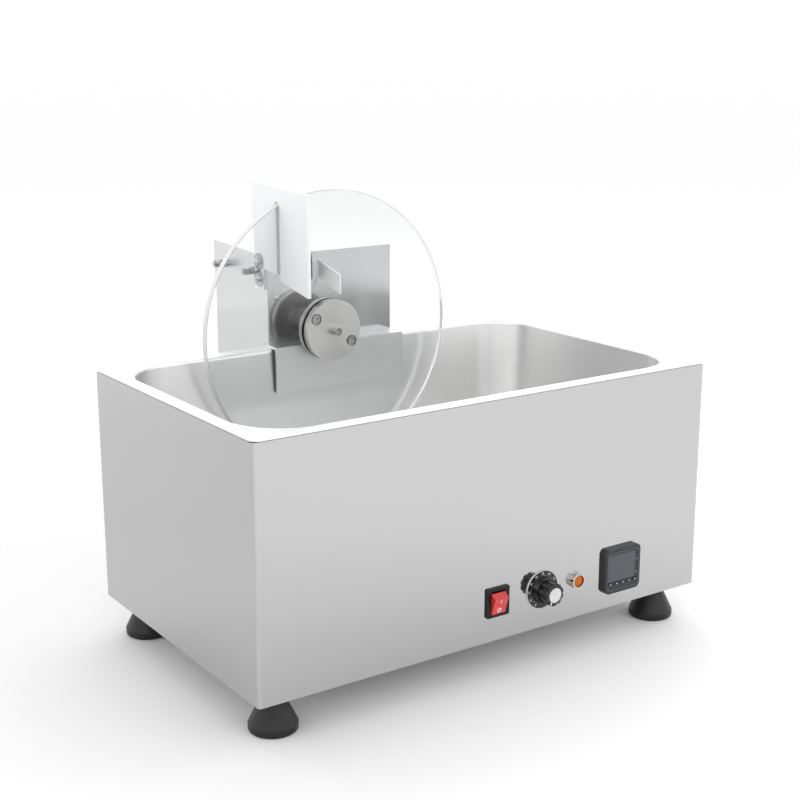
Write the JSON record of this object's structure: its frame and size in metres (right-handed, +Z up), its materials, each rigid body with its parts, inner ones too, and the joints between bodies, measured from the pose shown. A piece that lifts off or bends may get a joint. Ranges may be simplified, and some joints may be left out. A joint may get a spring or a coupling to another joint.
{
  "type": "chocolate melting tank",
  "caption": "Countertop chocolate melting tank: heated pan in a sheet-metal case on rubber feet, with a motor-driven clear wheel and scraper on the back rim and controls on the front.",
  "frame": {"origin": "middle of the whole part's footprint, on the surface that the feet stand on", "axes": "+X to the right along the front, +Y to the back, +Z up"},
  "size_m": [0.53, 0.4616, 0.458],
  "materials": {
    "case_steel": "polished stainless sheet",
    "pan_steel": "satin stainless, bright rim",
    "unit_steel": "polished stainless sheet",
    "hub_steel": "turned and brushed",
    "screw_steel": "bright screws",
    "bezel_chrome": "polished",
    "cap_metal": "spun bright",
    "foot_rubber": "matte black",
    "dark_rubber": "matte black",
    "heater_rubber": "matte",
    "wheel_clear": "clear, glossy",
    "scraper_clear": "milky, glossy",
    "black_gloss": "glossy black",
    "black_matte": "satin black",
    "slate_plastic": "dark slate",
    "screen_grey": "glossy grey window",
    "switch_red": "glossy red",
    "lens_orange": "glossy orange",
    "ivory_plastic": "satin",
    "board_green": "lacquered",
    "pin_brass": "plain",
    "wool": "fibrous",
    "motor_paint": "dark satin paint",
    "gear_cast": "plain"
  },
  "bodies": {
    "tank": {"body_shell": "case_steel", "base_plate": "case_steel", "base_screws": "screw_steel", "foot_front_left": "foot_rubber", "foot_front_right": "foot_rubber", "foot_back_left": "foot_rubber", "foot_back_right": "foot_rubber", "foot_bolts": "screw_steel", "pan": "pan_steel", "rim_gasket": "dark_rubber", "heater_mat": "heater_rubber", "insulation_pad": "wool", "sensor_clip": "cap_metal", "sensor_probe": "screw_steel", "terminal_block": "ivory_plastic", "control_board": "board_green", "board_standoffs": "screw_steel", "heater_relay": "black_matte", "power_inlet": "black_matte", "inlet_pins": "pin_brass", "motor_socket": "black_matte", "rocker_frame": "black_matte", "dial_plate": "black_gloss", "potentiometer": "cap_metal", "pot_nut": "screw_steel", "lamp_bezel": "bezel_chrome", "lamp_lens": "lens_orange", "lamp_nut": "screw_steel", "controller_housing": "slate_plastic", "controller_screen": "screen_grey", "controller_back": "ivory_plastic", "controller_clamp": "black_matte", "saddle_bracket": "unit_steel", "side_panel": "unit_steel", "motor_cover": "unit_steel", "cover_screws": "screw_steel", "gearbox": "gear_cast", "gearbox_screws": "screw_steel", "motor": "motor_paint", "scraper": "scraper_clear", "scraper_bolts": "screw_steel", "side_bolts": "screw_steel"},
    "wheel_set": {"drive_shaft": "hub_steel", "shaft_coupling": "hub_steel", "hub_back": "hub_steel", "hub_bush": "dark_rubber", "wheel": "wheel_clear", "hub_cap": "hub_steel", "hub_screws": "screw_steel", "centre_screw": "screw_steel"},
    "rocker": {"rocker": "switch_red"},
    "knob": {"speed_knob": "black_matte", "knob_cap": "cap_metal", "pot_shaft": "hub_steel"},
    "button_1": {"controller_button_1": "slate_plastic"},
    "button_2": {"controller_button_2": "slate_plastic"},
    "button_3": {"controller_button_3": "slate_plastic"},
    "button_4": {"controller_button_4": "slate_plastic"},
    "button_5": {"controller_button_5": "slate_plastic"}
  },
  "joints": [
    {"name": "wheel_spin", "type": "hinge", "parent": "tank", "child": "wheel_set", "pos_m": [-0.0105, 0.0788, 0.3], "axis": [0, 1, 0], "continuous": true},
    {"name": "rocker_tip", "type": "hinge", "parent": "tank", "child": "rocker", "pos_m": [-0.003, -0.2064, 0.0795], "axis": [-1, 0, 0], "range_deg": [0, 35]},
    {"name": "knob_turn", "type": "hinge", "parent": "tank", "child": "knob", "pos_m": [0.053, -0.2202, 0.0795], "axis": [0, 1, 0], "range_deg": [0, 300]},
    {"name": "button_1_press", "type": "slide", "parent": "tank", "child": "button_1", "axis": [0, 1, 0], "range_m": [0, 0.0006], "stiffness_N_per_m": 1500, "springref_m": -0.0003},
    {"name": "button_2_press", "type": "slide", "parent": "tank", "child": "button_2", "axis": [0, 1, 0], "range_m": [0, 0.0006], "stiffness_N_per_m": 1500, "springref_m": -0.0003},
    {"name": "button_3_press", "type": "slide", "parent": "tank", "child": "button_3", "axis": [0, 1, 0], "range_m": [0, 0.0006], "stiffness_N_per_m": 1500, "springref_m": -0.0003},
    {"name": "button_4_press", "type": "slide", "parent": "tank", "child": "button_4", "axis": [0, 1, 0], "range_m": [0, 0.0006], "stiffness_N_per_m": 1500, "springref_m": -0.0003},
    {"name": "button_5_press", "type": "slide", "parent": "tank", "child": "button_5", "axis": [0, 1, 0], "range_m": [0, 0.0006], "stiffness_N_per_m": 1500, "springref_m": -0.0003}
  ]
}
